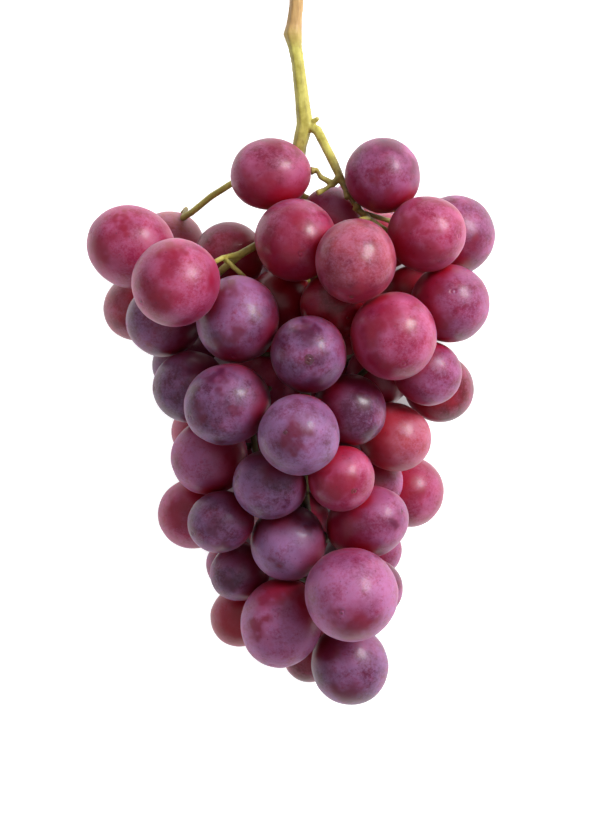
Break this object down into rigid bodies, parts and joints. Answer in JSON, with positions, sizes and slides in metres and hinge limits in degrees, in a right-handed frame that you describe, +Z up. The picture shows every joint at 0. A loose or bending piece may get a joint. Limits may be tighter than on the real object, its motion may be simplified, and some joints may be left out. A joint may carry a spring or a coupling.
{
  "type": "bunch of grapes",
  "caption": "Bunch of large dark red and purple table grapes on its green woody stalk, lying on its side as picked.",
  "frame": {"origin": "on the table, in the middle of the ground that the bunch covers", "axes": "+Z up off the table, +Y along the bunch toward the cut end of the stalk, +X to the right as seen from above with the stalk at the top"},
  "size_m": [0.1222, 0.224, 0.0838],
  "materials": {
    "skin_purple": "waxy bloom over a smooth skin",
    "skin_mauve": "waxy bloom over a smooth skin",
    "skin_red": "waxy bloom over a smooth skin",
    "skin_wine": "waxy bloom over a smooth skin",
    "skin_amber": "waxy bloom over a smooth skin",
    "stem_green": "green bark, woody at the cut end"
  },
  "bodies": {
    "root": {"grape_01": "skin_red", "grape_02": "skin_mauve", "grape_03": "skin_red", "grape_04": "skin_red", "grape_05": "skin_amber", "grape_06": "skin_wine", "grape_07": "skin_amber", "grape_08": "skin_purple", "grape_09": "skin_purple", "grape_10": "skin_red", "grape_11": "skin_amber", "grape_12": "skin_red", "grape_13": "skin_mauve", "grape_14": "skin_mauve", "grape_15": "skin_red", "grape_16": "skin_purple", "grape_17": "skin_mauve", "grape_18": "skin_wine", "grape_19": "skin_purple", "grape_20": "skin_purple", "grape_21": "skin_purple", "grape_22": "skin_purple", "grape_23": "skin_mauve", "grape_24": "skin_amber", "grape_25": "skin_purple", "grape_26": "skin_purple", "grape_27": "skin_red", "grape_28": "skin_purple", "grape_29": "skin_red", "grape_30": "skin_purple", "grape_31": "skin_amber", "grape_32": "skin_red", "grape_33": "skin_mauve", "grape_34": "skin_purple", "grape_35": "skin_mauve", "grape_36": "skin_mauve", "grape_37": "skin_mauve", "grape_38": "skin_wine", "grape_39": "skin_purple", "grape_40": "skin_wine", "grape_41": "skin_mauve", "grape_42": "skin_mauve", "grape_43": "skin_wine", "grape_44": "skin_wine", "grape_45": "skin_mauve", "grape_46": "skin_amber", "grape_47": "skin_wine", "grape_48": "skin_mauve", "grape_49": "skin_mauve", "grape_50": "skin_wine", "grape_51": "skin_mauve", "grape_52": "skin_purple", "grape_53": "skin_wine", "grape_54": "skin_red", "grape_55": "skin_wine", "grape_56": "skin_mauve", "grape_57": "skin_purple", "grape_58": "skin_red", "grape_59": "skin_wine", "stem": "stem_green"}
  },
  "joints": []
}
